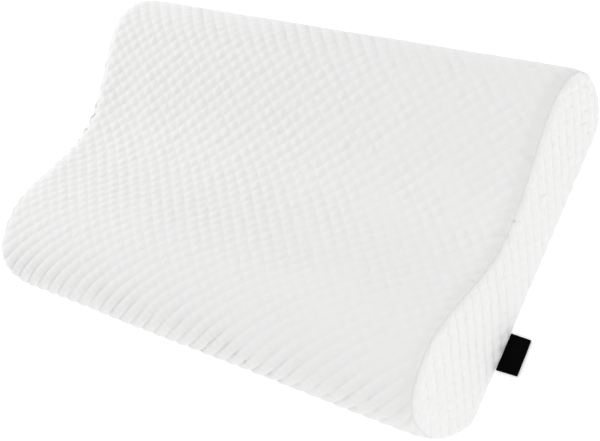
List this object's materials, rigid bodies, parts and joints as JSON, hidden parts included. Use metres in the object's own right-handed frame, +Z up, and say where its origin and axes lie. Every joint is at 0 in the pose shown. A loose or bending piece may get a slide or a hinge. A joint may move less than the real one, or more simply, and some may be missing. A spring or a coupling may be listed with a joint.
{
  "type": "contoured cervical pillow",
  "caption": "Low wave-shaped neck pillow with a high front lobe, a hollow and a lower back lobe, in a white diamond-quilted knit cover with a small black side tab.",
  "frame": {"origin": "middle of the flat underside, half way along the length and half way between the front and back noses", "axes": "+X along the length to the end with the tab, +Y from the high front lobe to the lower back lobe, +Z up"},
  "size_m": [0.524, 0.302, 0.0905],
  "materials": {
    "cover_knit": "matte white double knit, quilted in small raised diamonds",
    "tab_ribbon": "black woven satin ribbon, blank"
  },
  "bodies": {
    "root": {"pillow_body": "cover_knit", "end_panel_left": "cover_knit", "end_panel_right": "cover_knit", "side_tab": "tab_ribbon"}
  },
  "joints": []
}
